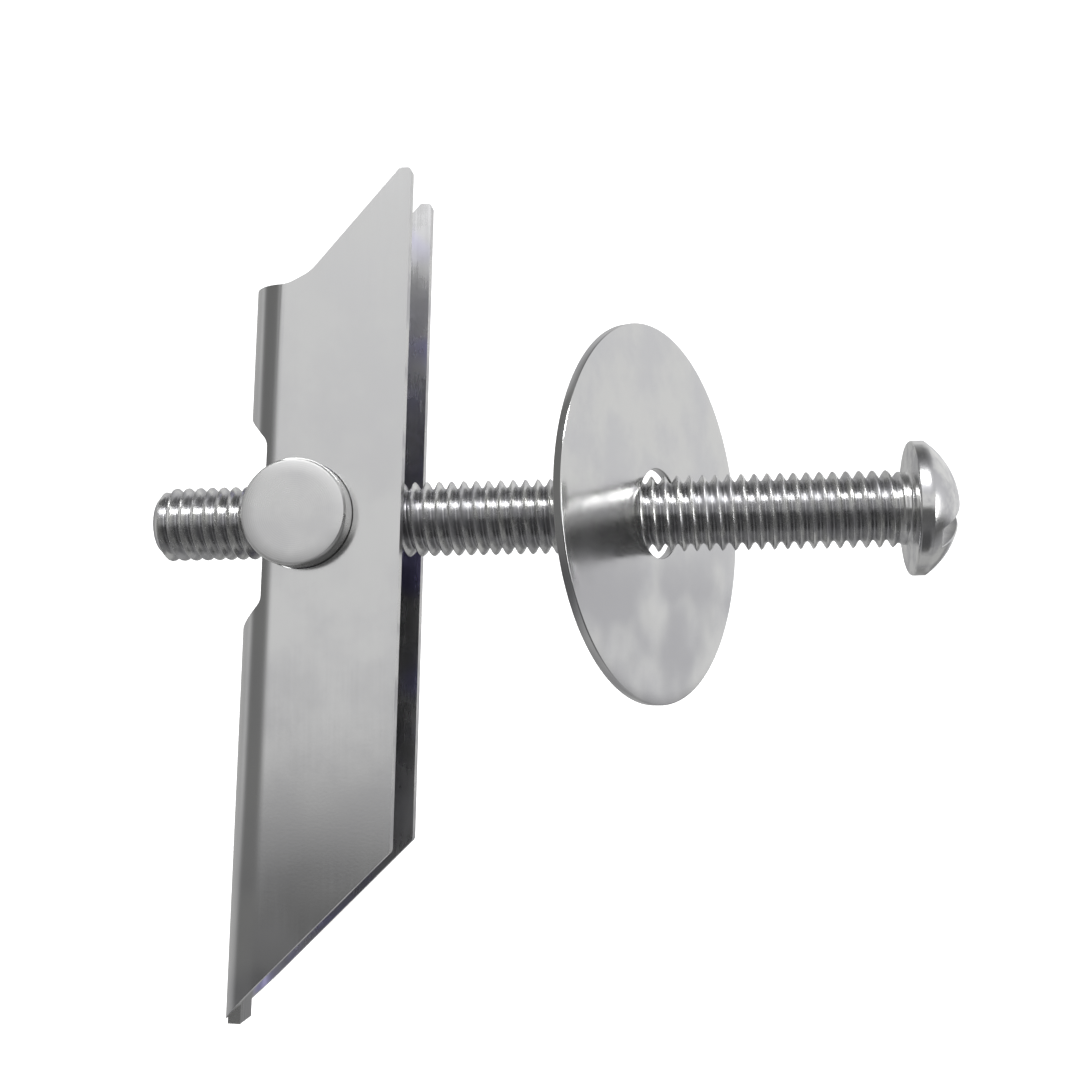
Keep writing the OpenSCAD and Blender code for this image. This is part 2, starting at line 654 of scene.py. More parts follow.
    def relief(self, tree: Tree) -> Socket:
        """Fine relief: the grain of the steel, the plate's pits and any turning rings.

        Args:
            tree: The node tree.

        Returns:
            The socket that gives the normal.
        """
        layers = [
            (self.mottle(tree, self.grain_mm, detail=2.0), self.grain_height_mm),
            (self.mottle(tree, (self.pit_mm,) * 3, detail=3.0), self.pit_height_mm),
        ]
        if self.rings_mm:
            layers.append((self.rings(tree), self.grain_height_mm))
        below = {}
        for height, height_mm in layers:
            inputs = {"Height": height, "Distance": height_mm * MM, "Strength": 1.0, **below}
            below = {"Normal": add_node(tree, "ShaderNodeBump", None, inputs).outputs["Normal"]}
        return below["Normal"]

    def material(self) -> bpy.types.Material:
        """The finish as a node material.

        Returns:
            The new material, named for the finish.
        """
        made = bpy.data.materials.new(self.name)
        made.use_nodes = True
        tree = made.node_tree
        tree.nodes.clear()
        clouds = self.mottle(tree, (self.cloud_mm,) * 3, detail=4.0, rough=0.55)
        grain = self.mottle(tree, self.grain_mm, detail=2.0)
        sums = {0: grain, 1: self.grain_share, 2: clouds}
        both = add_node(tree, "ShaderNodeMath", {"operation": "MULTIPLY_ADD"}, sums).outputs[0]
        low, high = self.gloss_edge
        limits = {
            "Value": both,
            "From Min": low,
            "From Max": high,
            "To Min": self.gloss_low,
            "To Max": self.gloss_high,
        }
        gloss = add_node(tree, "ShaderNodeMapRange", SOFT, limits).outputs["Result"]
        surface = {
            "Base Color": self.colour(tree, clouds),
            "Metallic": 1.0,
            "Roughness": gloss,
            "Normal": self.relief(tree),
        }
        shader = add_node(tree, "ShaderNodeBsdfPrincipled", None, surface).outputs["BSDF"]
        add_node(tree, "ShaderNodeOutputMaterial", None, {"Surface": shader})
        return made


# ---------------------------------------------------------------- screw


@dataclass
class Screw:
    """Slotted pan-head screw, threaded to its tip: one headed and rolled piece of steel."""

    pitch: float = 1.0
    crest_r: float = 3.0
    depth: float = 0.6134
    tip_r: float = 2.25
    tip_slope: float = 1.1
    fade_len: float = 1.1
    neck_r: float = 2.8
    neck_len: float = 0.35
    rim_round: float = 0.22
    dome_r: float = 6.4
    dome_top: float = 3.7
    slot_w: float = 1.6
    slot_depth: float = 1.9
    slot_turn: float = 38.0
    lip: float = 0.14
    sectors: int = 96
    length: float = field(init=False)
    head_r: float = field(init=False)

    def __post_init__(self) -> None:
        """Takes the length and the head's radius from the frame."""
        low, high = node_box_mm("screw")
        self.length = -low[0]
        self.head_r = (high[2] - low[2]) / 2

    def angles(self) -> np.ndarray:
        """Angles of the points round the screw, in radians. The first lies along the drive slot."""
        return math.radians(self.slot_turn) + np.arange(self.sectors) * 2 * math.pi / self.sectors

    def thread_section(self) -> tuple[np.ndarray, np.ndarray]:
        """Metric thread over one pitch.

        The crest is flat for an eighth of the pitch and the flanks stand at 30 degrees to the
        radius. The root is rounded. Corners are eased, as rolling leaves them.

        Returns:
            Phases from 0 to 1, in order, and the radius at each.
        """
        crest, root = self.crest_r, self.crest_r - self.depth
        flank = 1 / math.tan(math.radians(30))
        phase = np.array([0.0, 0.05, 0.10, 0.24, 0.37, 0.43, 0.5])
        straight = crest - (phase - 1 / 16) * self.pitch * flank
        eased_crest = [crest, crest - 0.006, crest - 0.062]
        radius = np.array([*eased_crest, *straight[3:5], root + 0.022, root])
        return np.concatenate((phase, 1 - phase[-2::-1])), np.concatenate((radius, radius[-2::-1]))

    def thread_radius(self, x: np.ndarray, turn: np.ndarray, gap: float = 0.0) -> np.ndarray:
        """Radius of the right-hand thread.

        The phase is x / pitch less the turn in revolutions, and the radius is the section's
        there.

        Args:
            x: Places along the screw.
            turn: Angle about the screw at each place, in radians.
            gap: Room that is added to the radius.

        Returns:
            The radius at each place.
        """
        phases, radii = self.thread_section()
        phase = np.mod(x / self.pitch - turn / (2 * math.pi), 1.0)
        return np.interp(phase, phases, radii) + gap

    def helix_rows(self, start: float, end: float) -> tuple[np.ndarray, np.ndarray]:
        """Points that follow the thread.

        Row (k, phase) lies at x = (k + phase) pitch + pitch turn / one revolution, so every row
        runs along the helix. Points past either end are held at that end.

        Args:
            start: Place along the screw at which they start.
            end: Place at which they end.

        Returns:
            Place along the screw and turn about it, in radians, of each point of each row.
        """
        phases = self.thread_section()[0][:-1]
        count = math.ceil((end - start) / self.pitch) + 1
        first = math.floor(start / self.pitch) - 1
        base = (first + np.arange(count + 1)[:, None] + phases).reshape(-1, 1) * self.pitch
        base = np.concatenate((base, base[-1:] + self.pitch))
        turn = (np.arange(self.sectors + 1) * 2 * math.pi / self.sectors)[None]
        x = np.clip(base + self.pitch * turn / (2 * math.pi), start, end)
        return x, np.broadcast_to(turn, x.shape)

    def shank(self) -> Grid:
        """Threaded shank, with a chamfered tip and a thread that fades into the neck.

        The radius is the thread's, or tip_r + tip_slope (distance from the tip) if that is lower.
        Over the last fade_len it is carried to neck_r by 3 f squared - 2 f cubed, for f from 0 to 1.

        Returns:
            The shank, open at both ends.
        """
        start, end = -self.length, -self.neck_len
        x, turn = self.helix_rows(start, end)
        turned_by = turn + math.radians(self.slot_turn)
        radius = self.thread_radius(x, turned_by)
        chamfer = self.tip_r + (x - start) * self.tip_slope
        radius = np.minimum(radius, chamfer)
        fade = np.clip((x - end) / self.fade_len + 1, 0, 1)
        fade = fade * fade * (3 - 2 * fade)
        radius = radius * (1 - fade) + self.neck_r * fade
        points = np.stack((x, radius * np.cos(turned_by), radius * np.sin(turned_by)), -1)
        return grid(points)

    def tip(self) -> Grid:
        """End of the shank, with the shallow cup that thread rolling leaves.

        Returns:
            Rings about the X axis that grow smaller and deeper toward the middle.
        """
        radius = np.array([self.tip_r, self.tip_r - 0.12, 1.7, 1.1, 0.5, 0.0])
        cup = np.array([0.0, 0.0, 0.12, 0.24, 0.3, 0.32])
        return turned(cup - self.length, radius, self.angles(), Axis.X)

    def underside(self) -> Grid:
        """Fillet under the head, the flat seat and the rounded rim up to the dome's edge.

        Returns:
            Their section, arc by arc, turned about the X axis.
        """
        r = self.neck_len
        fillet = arc((-r, self.neck_r + r), r, -90, 0, 6)
        round_r = self.rim_round
        lower = arc((round_r, self.head_r - round_r), round_r, 180, 90, 6)
        edge = self.rim_height()
        halfway = edge * 0.55 + round_r * 0.4
        upper = np.array([[halfway, self.head_r], [edge, self.head_r]])
        section = np.concatenate((fillet, lower, upper))
        return turned(section[:, 0], section[:, 1], self.angles(), Axis.X)

    def rim_height(self) -> float:
        """Height at which the dome meets the rim."""
        return self.dome_top - self.dome_r + math.sqrt(self.dome_r**2 - self.head_r**2)

    def crown(self) -> Grid:
        """Domed top with the drive slot, as heights over lines that cross the slot.

        Line i lies at b = R sin p along the slot, for p from -90 to 90 degrees, and reaches
        A = R cos p to each side. A point at distance a from the slot's middle is at the dome's
        height, sqrt(dome radius squared - a squared - b squared), or at the slot's floor if that
        is lower. Columns gather at the slot's rounded lips.

        Returns:
            The top as a grid of lines, whose ends lie on the rim.
        """
        half = self.slot_w / 2
        lip = arc((0.0, 0.0), self.lip, 0, 90, 5)
        lip_a = half + self.lip - lip[:, 0]
        lip_drop = self.lip - lip[:, 1]
        outer = np.linspace(0, 1, 15)[1:] ** 0.9
        floor_a = np.array([0.0, 0.35, 0.62, half - 0.06, half - 0.015])
        rows = self.sectors // 2 + 1
        p = np.radians(np.linspace(-90, 90, rows))[:, None]
        b = self.head_r * np.sin(p)
        reach = self.head_r * np.cos(p)
        inner = np.concatenate((floor_a, lip_a))[None]
        squeeze = np.minimum(1.0, reach / (half + self.lip + 1e-9))
        inner = inner * squeeze
        edge = np.minimum(reach, half + self.lip)
        side = np.concatenate((inner, edge + (reach - edge) * outer), 1)
        dome = self.dome_top - self.dome_r + np.sqrt(
            np.maximum(self.dome_r**2 - side**2 - b**2, 0)
        )
        floor = self.dome_top - self.slot_depth
        drop = np.concatenate((lip_drop, np.zeros(len(outer))))[None]
        floor_h = floor + np.array([0.0, 0.0, 0.0, 0.012, 0.05])[None]
        count = len(floor_a)
        height = dome.copy()
        height[:, :count] = np.minimum(dome[:, :count], floor_h)
        slotted = np.clip((dome[:, count:] - floor) / (2 * self.lip), 0, 1)
        height[:, count:] = dome[:, count:] - drop * slotted
        a = np.concatenate((-side[:, :0:-1], side), 1)
        height = np.concatenate((height[:, :0:-1], height), 1)
        turn = math.radians(self.slot_turn)
        y = b * math.cos(turn) - a * math.sin(turn)
        z = b * math.sin(turn) + a * math.cos(turn)
        return grid(np.stack((height, y, z), -1))

    def build(self) -> bpy.types.Object:
        """Makes the screw as one closed mesh and dresses it.

        Returns:
            The finished screw.
        """
        piece = build_mesh(
            "slotted_screw",
            [self.shank(), self.tip(), self.underside(), self.crown()],
            [Face.MAIN, Face.MAIN, Face.CUT, Face.CUT],
        )
        smooth(piece, limit=50)
        self.dress(piece)
        return piece

    def dress(self, piece: bpy.types.Object) -> None:
        """Gives the screw its finishes and its body.

        Args:
            piece: The screw.
        """
        # Steel rod with its thread rolled between dies, zinc plated. Rolling presses the flanks
        # smooth, so each crest shows a clear line of light, and painted shade darkens the roots.
        thread = ZincPlate(
            name="rolled_thread_zinc",
            slot="plated_screw",
            light="#D8D8D6",
            dull="#BCBCBE",
            gloss_low=0.2,
            gloss_high=0.34,
            cloud_mm=1.6,
            grain_mm=(0.5, 0.1, 0.1),
            # Painted shade: the colour darkens toward the thread's roots.
            root_shade="#A6A6A8",
            root_shade_from_mm=self.crest_r - self.depth,
            root_shade_to_mm=self.crest_r - 0.25,
        )
        # The same rod upset cold in a polished die, zinc plated. It is the brightest surface on
        # the object: an even gloss with clear reflections and hardly any grain.
        head = ZincPlate(
            name="cold_headed_zinc",
            slot="plated_screw",
            light="#DADAD8",
            dull="#BCBCBE",
            gloss_low=0.14,
            gloss_high=0.26,
            cloud_mm=1.8,
            grain_mm=(0.15, 0.15, 0.15),
        )
        piece.data.materials.append(thread.material())
        piece.data.materials.append(head.material())
        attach(piece, "screw")
        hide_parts("screw")


# ---------------------------------------------------------------- washer


@dataclass
class Washer:
    """Wide flat washer, blanked from strip: one face's edges are rolled over, the other's are crisp."""

    thickness: float = 0.7
    lean: float = 25.0
    hole_gap: float = 0.07
    roll: float = 0.09
    burr: float = 0.05
    dish: float = 0.02
    sectors: int = 192
    outer_r: float = field(init=False)
    centre: np.ndarray = field(init=False)

    def __post_init__(self) -> None:
        """Takes the radius and the middle from the frame."""
        low, high = node_box_mm("washer")
        self.outer_r = (high[2] - low[2]) / 2
        self.centre = (low + high) / 2

    def hole_r(self, screw_r: float) -> float:
        """Radius that lets the screw through at the washer's lean.

        It is screw_r / cos(lean) + thickness tan(lean) / 2 + hole_gap.

        Args:
            screw_r: Radius of the thread's crests.

        Returns:
            The hole's radius.
        """
        lean = math.radians(self.lean)
        return screw_r / math.cos(lean) + self.thickness * math.tan(lean) / 2 + self.hole_gap

    def section(self, hole: float) -> np.ndarray:
        """Section of the ring, round from the hole's edge to itself.

        The front face dips by dish (1 - sin t) as t runs from 0 at the hole to pi at the rim.

        Args:
            hole: The hole's radius.

        Returns:
            Points (along, radius), of shape (n, 2).
        """
        half, roll, burr, outer = self.thickness / 2, self.roll, self.burr, self.outer_r
        rings = np.linspace(hole + roll, outer - roll, 12)
        wave = self.dish * np.sin((rings - hole) / (outer - hole) * math.pi)
        front = np.stack((half + wave - self.dish, rings), -1)
        back = np.stack((-half + wave[::-1] * 0.5, rings[::-1]), -1)
        top = half - self.dish
        return np.concatenate(
            (
                front,
                arc((top - roll, outer - roll), roll, 0, 90, 6)[1:],
                arc((-half + burr, outer - burr), burr, 90, 180, 3),
                back[1:-1],
                arc((-half + burr, hole + burr), burr, 180, 270, 3),
                arc((top - roll, hole + roll), roll, 270, 360, 6)[:-1],
                front[:1],
            )
        )

    def build(self, screw_r: float) -> bpy.types.Object:
        """Makes the washer leaning on the thread and dresses it.

        Args:
            screw_r: Radius of the thread's crests.

        Returns:
            The finished washer.
        """
        ring = self.section(self.hole_r(screw_r))
        angles = np.arange(self.sectors) * 2 * math.pi / self.sectors
        points, faces = turned(ring[:, 0], ring[:, 1], angles, Axis.X)
        lean = math.radians(-self.lean)
        turn = np.array(
            [[math.cos(lean), -math.sin(lean), 0], [math.sin(lean), math.cos(lean), 0], [0, 0, 1]]
        )
        piece = build_mesh("penny_washer", [(points @ turn.T + self.centre, faces)])
        smooth(piece, limit=40)
        self.dress(piece)
        return piece

    def dress(self, piece: bpy.types.Object) -> None:
        """Gives the washer its finish and its body.

        Args:
            piece: The washer.
        """
        # Steel strip, cold rolled and blanked, zinc plated in a barrel. A soft satin with a faint
        # rolling grain that mirrors the screw as a blur, darker in patches lower down as painted shade.
        finish = ZincPlate(
            name="blanked_strip_zinc",
            slot="plated_washer",
            light="#D4D4D2",
            dull="#CBCBCC",
            gloss_low=0.11,
            gloss_high=0.2,
            cloud_mm=5.5,
            grain_mm=(3.0, 3.0, 0.14),
            # Painted shade: darker patches over the lower part of the face.
            lower_dark_from_mm=1.0,
            lower_dark_to_mm=-7.0,
            lower_dark="#B6B6B8",
        )
        piece.data.materials.append(finish.material())
        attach(piece, "washer")
        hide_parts("washer")


# ---------------------------------------------------------------- toggle


@dataclass
class TrunnionNut:
    """Round cross-pin cropped from bar, threaded across its middle. The toggle swings on it."""

    chamfer: float = 0.2
    countersink: float = 0.35
    thread_gap: float = 0.06
    tap_past: float = 1.0
    sectors: int = 128
    radius: float = field(init=False)
    half: float = field(init=False)
    pivot: np.ndarray = field(init=False)

    def __post_init__(self) -> None:
        """Takes the radius, the length and the pivot from the frame."""
        low, high = node_box_mm("trunnion_nut")
        self.radius = (high[0] - low[0]) / 2
        self.half = (high[1] - low[1]) / 2
        self.pivot = (low + high) / 2

    def bar(self) -> bpy.types.Object:
        """The pin before it is drilled: a cylinder whose ends have eased chamfers.

        Returns:
            The pin: its half section turned about the Y axis through the pivot.
        """
        c, half, r = self.chamfer, self.half, self.radius
        rim = np.array(
            [
                [half, 0],
                [half, r * 0.35],
                [half, r * 0.7],
                [half, r - c * 1.25],
                [half - c * 0.1, r - c * 0.8],
                [half - c * 0.85, r - c * 0.12],
                [half - c * 1.4, r],
                [half - c * 3, r],
            ]
        )
        section = np.concatenate((rim, rim[::-1] * [-1, 1]))
        angles = np.arange(self.sectors) * 2 * math.pi / self.sectors
        points, faces = turned(section[:, 0], section[:, 1], angles, Axis.Y)
        return build_mesh("trunnion_nut_pin", [(points + self.pivot, faces)])

    def tap(self, screw: Screw) -> bpy.types.Object:
        """The threaded cross-hole as a solid: the screw's own thread, a little larger.

        At each mouth the radius is at least that of the 45 degree countersink.

        Args:
            screw: The screw that the nut runs on.

        Returns:
            The solid to cut with.
        """
        start = self.pivot[0] - self.radius - self.tap_past
        end = self.pivot[0] + self.radius + self.tap_past
        x, turn = screw.helix_rows(start, end)
        radius = screw.thread_radius(x, turn, self.thread_gap)
        sink = screw.crest_r + self.countersink + np.abs(x - self.pivot[0]) - self.radius
        radius = np.maximum(radius, np.minimum(sink, screw.crest_r + self.countersink))
        wall = grid(np.stack((x, radius * np.cos(turn), radius * np.sin(turn)), -1))
        angles = np.arange(screw.sectors) * 2 * math.pi / screw.sectors
        rim = np.array([screw.crest_r + self.countersink, 0.0])
        caps = [turned(np.full(2, end_x), rim, angles, Axis.X) for end_x in (start, end)]
        return build_mesh("tap", [wall, *caps], [Face.CUT] * 3)

    def build(self, screw: Screw) -> bpy.types.Object:
        """Makes the drilled and threaded pin and dresses it.

        Args:
            screw: The screw that the nut runs on.

        Returns:
            The finished nut.
        """
        piece = self.bar()
        cut(piece, self.tap(screw))
        smooth(piece, limit=32)
        self.dress(piece)
        return piece

    def dress(self, piece: bpy.types.Object) -> None:
        """Gives the nut its finishes and its body.

        Args:
            piece: The nut.
        """
        # Round steel bar, cropped and faced on a lathe, zinc plated. The flat end is an even
        # satin, and its fine turning rings, drawn coarser than real ones, soften reflections.
        finish = ZincPlate(
            name="cropped_bar_zinc",
            slot="plated_pin",
            light="#D4D4D3",
            dull="#CCCCCC",
            gloss_low=0.27,
            gloss_high=0.35,
            cloud_mm=3.0,
            grain_mm=(0.2, 0.2, 0.2),
            pit_height_mm=0.0005,
            rings_mm=0.16,
            rings_about=tuple(self.pivot),
        )
        # A tapped hole in the same bar. A tap tears the steel slightly, so it is duller than the
        # outside; its colour is also darker.
        inside = ZincPlate(
            name="tapped_thread_zinc",
            slot="plated_pin",
            light="#B8B8B8",
            dull="#8C8C8E",
            gloss_low=0.25,
            gloss_high=0.4,
        )
        piece.data.materials.append(finish.material())
        piece.data.materials.append(inside.material())
        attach(piece, "trunnion")
        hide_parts("trunnion_nut")


@dataclass
class ToggleChannel:
    """Toggle folded from one sheared blank: two side walls and the rounded web behind them."""

    sheet: float = 1.0
    width: float = 8.8
    bend_r: float = 3.3
    back: float = 5.2
    reach: float = 8.0
    short_arm: float = 28.0
    long_arm: float = 25.6
    short_slant: float = 50.0
    long_slant: float = 45.5
    tip_flat: float = 0.95
    web_short: float = 9.4
    web_long: float = 13.9
    shoulder: float = 1.0
    tongue_w: float = 2.5
    notch_depth: float = 2.2
    notch_above: float = 8.2
    notch_below: float = 9.1
    notch_slant: float = 2.3
    pivot_gap: float = 0.06
    lean: float = 1.5
    edge_round: float = 0.1
    past: float = 1.0
    bend_steps: int = 14

    def side_outline(self) -> np.ndarray:
        """Side view of the blank: slanted ends, the blunt tip and the shoulder beside the web.

        Returns:
            Points (x, z) about the pivot. Behind the web it runs on, so that it cuts nothing there.
        """
        web_top = self.short_arm - self.web_short
        shoulder_z = web_top + self.shoulder
        tip_x = self.reach - self.tip_flat
        shoulder_x = tip_x - (self.short_arm - shoulder_z) / math.tan(math.radians(self.short_slant))
        behind = self.back + 2 * self.past
        low = -self.long_arm - (self.reach + behind) * math.tan(math.radians(self.long_slant))
        return rounded(
            [
                (self.reach, -self.long_arm, 0.5),
                (self.reach, self.short_arm, 0.3),
                (tip_x, self.short_arm, 0.3),
                (shoulder_x, shoulder_z, 3.2),
                (self.bend_r - self.back, web_top, 2.4),
                (-behind, web_top, 0),
                (-behind, low, 0),
            ]
        )

    def tongue_outline(self) -> np.ndarray:
        """Side view of the block that keeps the tongue below the long arm's slanted cut.

        Returns:
            Points (x, z) about the pivot.
        """
        bottom = -self.long_arm - self.web_long
        behind = -self.back - 2 * self.past
        front = self.bend_r - self.back
        corners = [(behind, bottom), (front, bottom), (front, -self.long_arm), (behind, -self.long_arm)]
        return np.array(corners)

    def notch_outline(self) -> np.ndarray:
        """Outline of the notch that lets the screw through the web.

        Returns:
            Points (x, z) about the pivot.
        """
        behind = -self.back - 2 * self.past
        floor = self.notch_depth - self.back
        return rounded(
            [
                (behind, self.notch_above, 0),
                (-self.back, self.notch_above, 0.5),
                (floor, self.notch_above - self.notch_slant, 1.2),
                (floor, self.notch_slant - self.notch_below, 1.2),
                (-self.back, -self.notch_below, 0.5),
                (behind, -self.notch_below, 0),
            ]
        )

    def skin(self, inset: float) -> np.ndarray:
        """Line of one side of the folded sheet, seen from its end.

        It runs along the near wall, round a quarter circle at each bend, and along the far wall.

        Args:
            inset: How far it lies inside the outer face.

        Returns:
            Points (x, y), of shape (n, 2).
        """
        r = self.bend_r - inset
        half = self.width / 2 - inset
        x = self.bend_r - self.back
        near = arc((x, r - half), r, 270, 180, self.bend_steps)
        far = arc((x, half - r), r, 180, 90, self.bend_steps)
        front = self.reach + self.past
        return np.concatenate(([[front, -half]], near, far, [[front, half]]))

    def folded_strip(self) -> bpy.types.Object:
        """Long strip with the channel's U section, before its ends are shaped.

        The section runs down one side's outer face, round the web and up the other side, then
        back along the inner faces, which lie one sheet inside. It is carried straight along Z.

        Returns:
            The strip, a little longer and deeper than the channel.
        """
        loop = np.concatenate((self.skin(0.0), self.skin(self.sheet)[::-1]))
        count = len(loop)
        low = -self.long_arm - self.web_long - self.past
        high = self.short_arm + self.past
        x, y = np.repeat(loop.T[:, None], 2, 1)
        z = np.repeat([[low], [high]], count, 1)
        points = np.stack((x, y, z), -1)
        half = count // 2
        sides = quads(2, count, closed=True)
        inner = np.isin(np.arange(count), np.arange(half, count - 1))
        i = np.arange(half - 1)
        lid = np.stack((i, i + 1, count - 2 - i, count - 1 - i), -1)
        flat = points.reshape(-1, 3)
        parts = [
            (flat, np.concatenate((sides[~inner], lid, lid + count))),
            (flat, sides[inner]),
        ]
        return build_mesh("folded_toggle", parts, [Face.MAIN, Face.INSIDE])

    def build(self, nut: TrunnionNut) -> bpy.types.Object:
        """Shapes the strip, bores the pivot holes, swings it to its lean and dresses it.

        Args:
            nut: The nut that the toggle swings on.

        Returns:
            The finished toggle.
        """
        piece = self.folded_strip()
        kept = prism("blank", self.side_outline(), self.width, Face.CUT)
        cut(kept, prism("tongue", self.tongue_outline(), self.tongue_w / 2, Face.CUT), Carve.ADD)
        cut(piece, kept, Carve.KEEP)
        cut(piece, prism("notch", self.notch_outline(), self.width, Face.CUT))
        bore = arc((0.0, 0.0), nut.radius + self.pivot_gap, 0, 360, 72)[:-1]
        cut(piece, prism("bore", bore, self.width, Face.CUT))
        ease_edges(piece, self.edge_round, segments=2, limit=40)
        lean = math.radians(self.lean)
        swing = Matrix.Rotation(lean, 4, "Y")
        piece.data.transform(Matrix.Translation(Vector(nut.pivot * MM)) @ swing)
        smooth(piece, limit=35, weighted=True)
        self.dress(piece)
        return piece

    def dress(self, piece: bpy.types.Object) -> None:
        """Gives the toggle its finishes and its body.

        Args:
            piece: The toggle.
        """
        # Steel sheet, cold rolled and pressed to shape, zinc plated. Large flat walls with an even,
        # slightly blurred reflection and a fine grain along them, duller toward the long arm's foot.
        sheet = ZincPlate(
            name="rolled_sheet_zinc",
            slot="plated_sheet",
            light="#D2D2D1",
            dull="#CCCCCC",
            gloss_low=0.14,
            gloss_high=0.2,
            cloud_mm=7.0,
            grain_mm=(0.16, 0.16, 6.0),
            lower_dark_from_mm=-22.0,
            lower_dark_to_mm=-34.0,
            lower_dark="#B6B6B8",
        )
        # The blank's cut edges, sheared and tumbled, zinc plated. Fine tears across the thickness
        # make them rougher than the faces, so they catch light as a soft pale line.
        edge = ZincPlate(
            name="sheared_edge_zinc",
            slot="plated_sheet",
            light="#D8D8D6",
            dull="#BEBEC0",
            gloss_low=0.26,
            gloss_high=0.42,
            cloud_mm=2.4,
            grain_mm=(0.5, 0.5, 0.07),
            grain_height_mm=0.0015,
        )
        # The sheet's inner faces. Their colour is a little darker than the outside, as painted shade
        # inside the channel, with soft patches of pale violet.
        inside = ZincPlate(
            name="inner_zinc_painted_shade",
            slot="plated_sheet",
            # Painted shade: these inner colours are darker than the outer walls'.
            light="#C6C6C6",
            dull="#BDBDBE",
            tint="#A9A5D4",
            tint_shift_mm=(3.0, 0.0, 1.0),
            gloss_low=0.2,
            gloss_high=0.34,
            cloud_mm=6.0,
            grain_mm=(0.16, 0.16, 6.0),
        )
        piece.data.materials.append(sheet.material())
        piece.data.materials.append(edge.material())
        piece.data.materials.append(inside.material())
        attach(piece, "channel")
        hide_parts("toggle_channel")


# ---------------------------------------------------------------- studio


@dataclass(frozen=True)
class Softbox:
    """One soft studio light.

    Attributes:
        name: Name of the light.
        place: Where it stands, in metres.
        size: Its width and height.
        watts: Its strength.
    """

    name: str
    place: Triple
    size: tuple[float, float]
    watts: float

    def build(self, target: Vector) -> None:
        """Makes the light.

        Args:
            target: The place that it faces.
        """
        data = bpy.data.lights.new(self.name, "AREA")
        data.shape = "RECTANGLE"
        data.size, data.size_y = self.size
        data.energy = self.watts
        lamp = bpy.data.objects.new(self.name, data)
        lamp.location = self.place
        lamp.rotation_euler = (target - Vector(self.place)).to_track_quat("-Z", "Y").to_euler()
        bpy.context.scene.collection.objects.link(lamp)


@dataclass(frozen=True)
class Card:
    """Soft patch of the sky, as a white or black card beside the object gives.

    Attributes:
        towards: Direction of its middle.
        edge: Cosine of the angle from its middle at which it starts.
        full: Cosine of the angle within which it is full.
        grey: Its brightness, from 0 to 1.
    """

    towards: Triple
    edge: float
    full: float
    grey: float

    def hang(self, tree: Tree, sky: Socket) -> Socket:
        """Hangs the card before the sky.

        The cosine of the angle to its middle is carried from edge..full to 0..1, and the sky is
        blended by that into the card's grey.

        Args:
            tree: The world's node tree.
            sky: Colour of the sky behind it.

        Returns:
            The socket that gives the colour of both.
        """
        place = add_node(tree, "ShaderNodeTexCoord")
        both = {0: place.outputs["Generated"], 1: Vector(self.towards).normalized()}
        cosine = add_node(tree, "ShaderNodeVectorMath", {"operation": "DOT_PRODUCT"}, both)
        limits = {"Value": cosine.outputs["Value"], "From Min": self.edge, "From Max": self.full}
        amount = add_node(tree, "ShaderNodeMapRange", SOFT, limits).outputs["Result"]
        blend = {"Factor": amount, FIRST: sky, SECOND: (self.grey, self.grey, self.grey, 1.0)}
        return add_node(tree, "ShaderNodeMix", BLEND, blend).outputs[BLENDED]


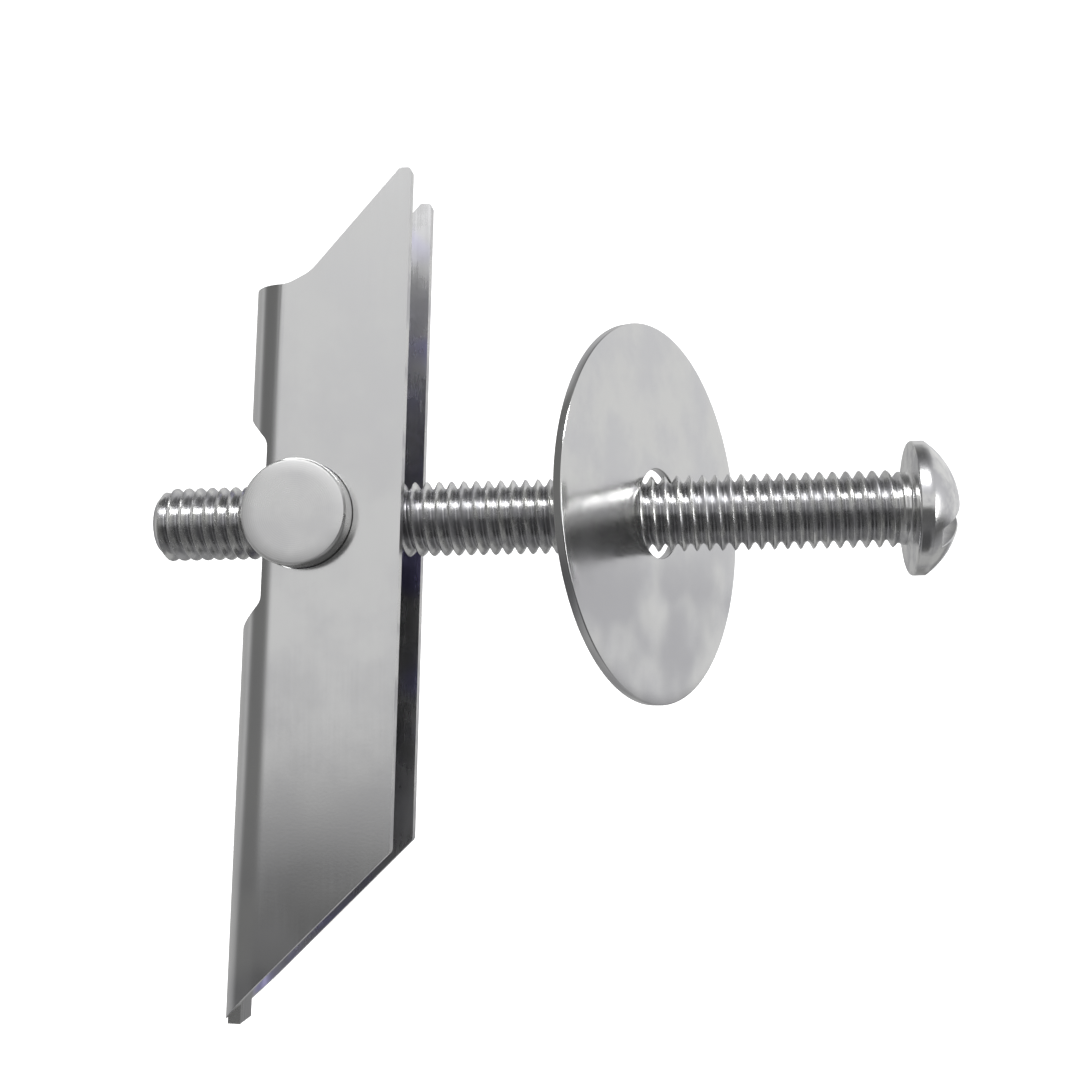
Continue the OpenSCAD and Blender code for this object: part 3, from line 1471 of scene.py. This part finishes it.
@dataclass
class Studio:
    """Camera, pale floor that curves up all round, soft lights and the sky they stand under.

    Lengths here are in metres. The sky is given as pairs of height, from -1 straight down to 1
    straight up, and brightness there.
    """

    camera_place: Triple = (-0.01635, -0.09987, -0.01321)
    camera_aim: Triple = (-0.02896, 0.00241, -0.00160)
    camera_roll: float = -0.371
    lens_mm: float = 42.37
    sky_greys: tuple[tuple[float, float], ...] = (
        (-1.0, 0.5),
        (-0.86, 0.44),
        (-0.68, 0.2),
        (-0.45, 0.13),
        (-0.18, 0.12),
        (-0.13, 0.25),
        (-0.08, 0.6),
        (-0.03, 0.84),
        (0.45, 0.88),
        (0.7, 0.8),
        (0.88, 0.34),
        (1.0, 0.14),
    )
    sky_blue: float = 1.01
    cards: tuple[Card, ...] = (
        Card((-0.6, 0.8, 0.0), 0.35, 0.9, 0.5),
        Card((-0.86, -0.5, 0.0), 0.76, 0.97, 0.22),
        Card((-0.8, -0.35, 0.6), 0.8, 0.95, 0.2),
        Card((0.62, 0.55, -0.56), 0.84, 0.96, 0.5),
        Card((0.1, -0.4, -0.91), 0.9, 0.97, 0.1),
    )
    softboxes: tuple[Softbox, ...] = (
        Softbox("key_light", (-0.05, -0.40, 0.42), (0.6, 0.12), 3.6),
        Softbox("side_light", (0.57, -0.11, 0.0), (0.12, 0.2), 0.6),
    )
    lit_place: Triple = (-0.03, 0.0, 0.0)
    floor_z: float = -0.085
    floor_flat: float = 0.35
    floor_reach: float = 1.1
    floor_rise: float = 3.0
    floor_glow: float = 0.75
    sectors: int = 96

    def camera(self) -> None:
        """Makes the camera and sets it as the scene's."""
        data = bpy.data.cameras.new("camera")
        data.lens = self.lens_mm
        data.sensor_width = 36.0
        data.clip_start = 0.004
        data.clip_end = 20.0
        eye = bpy.data.objects.new("camera", data)
        eye.location = self.camera_place
        look = (Vector(self.camera_aim) - Vector(self.camera_place)).to_track_quat("-Z", "Y")
        roll = Quaternion((0, 0, 1), math.radians(self.camera_roll))
        eye.rotation_euler = (look @ roll).to_euler()
        bpy.context.scene.collection.objects.link(eye)
        bpy.context.scene.camera = eye

    def floor(self) -> None:
        """Makes the round floor, which is flat near the object and rises all round it.

        Past floor_flat it is a quarter ellipse: for t from 0 to 90 degrees, the radius grows by
        sin t of the rest of floor_reach, and the height by 1 - cos t of floor_rise.
        """
        t = np.linspace(0, math.pi / 2, 24)
        span = self.floor_reach - self.floor_flat
        radius = np.concatenate(([0.0, 0.1, 0.2], self.floor_flat + span * np.sin(t)))
        height = np.concatenate(([0.0, 0.0, 0.0], self.floor_rise * (1 - np.cos(t)))) + self.floor_z
        angles = np.arange(self.sectors) * 2 * math.pi / self.sectors
        up = np.repeat(height[:, None], len(angles), 1)
        points = np.stack((radius[:, None] * np.cos(angles), radius[:, None] * np.sin(angles), up), -1)
        flat, faces = grid(points, closed=True)
        floor = build_mesh("pale_floor", [(flat / MM, faces[:, ::-1])])
        smooth(floor, limit=60)
        floor.data.materials.append(self.matt_paper())
        floor.visible_glossy = False
        floor.visible_diffuse = False
        floor.visible_shadow = False

    def matt_paper(self) -> bpy.types.Material:
        """Finish of the floor: a roll of uncoated studio paper.

        To the eye it is an even white without gloss. Its glow stands for the light that a real
        roll gets from lamps of its own.

        Returns:
            The new material.
        """
        made = bpy.data.materials.new("matt_paper")
        made.use_nodes = True
        shader = made.node_tree.nodes["Principled BSDF"]
        shader.inputs["Base Color"].default_value = linear("#F4F4F4")
        shader.inputs["Roughness"].default_value = 0.9
        shader.inputs["Emission Color"].default_value = linear("#FFFFFF")
        shader.inputs["Emission Strength"].default_value = self.floor_glow
        return made

    def sky(self) -> None:
        """Makes the sky: light walls, a dark gap near the table, and cards before them."""
        world = bpy.data.worlds.new("studio")
        world.use_nodes = True
        tree = world.node_tree
        tree.nodes.clear()
        place = add_node(tree, "ShaderNodeTexCoord")
        parts = add_node(tree, "ShaderNodeSeparateXYZ", None, {0: place.outputs["Generated"]})
        limits = {"Value": parts.outputs["Z"], "From Min": -1.0, "From Max": 1.0}
        span = add_node(tree, "ShaderNodeMapRange", None, limits)
        ramp = add_node(tree, "ShaderNodeValToRGB", None, {0: span.outputs["Result"]})
        points = ramp.color_ramp.elements
        while len(points) < len(self.sky_greys):
            points.new(0.5)
        for point, (height, grey) in zip(points, self.sky_greys):
            point.position = (height + 1) / 2
            point.color = (grey, grey, grey * self.sky_blue, 1.0)
        colour = ramp.outputs["Color"]
        for card in self.cards:
            colour = card.hang(tree, colour)
        light = add_node(tree, "ShaderNodeBackground", None, {"Color": colour, "Strength": 1.0})
        add_node(tree, "ShaderNodeOutputWorld", None, {"Surface": light.outputs[0]})
        bpy.context.scene.world = world

    def lights(self) -> None:
        """Makes the soft lights."""
        for box in self.softboxes:
            box.build(Vector(self.lit_place))


def main() -> None:
    """Builds the studio and the four pieces."""
    logging.basicConfig(level=logging.INFO, format="%(message)s")
    studio = Studio()
    studio.camera()
    screw = Screw()
    nut = TrunnionNut()
    pieces = [
        screw.build(),
        Washer().build(screw.crest_r),
        nut.build(screw),
        ToggleChannel().build(nut),
    ]
    for piece in pieces:
        LOG.info("%s: %d faces", piece.name, len(piece.data.polygons))
    studio.floor()
    studio.sky()
    studio.lights()
    bpy.context.scene.view_settings.view_transform = "Standard"


if __name__ == "__main__":
    main()
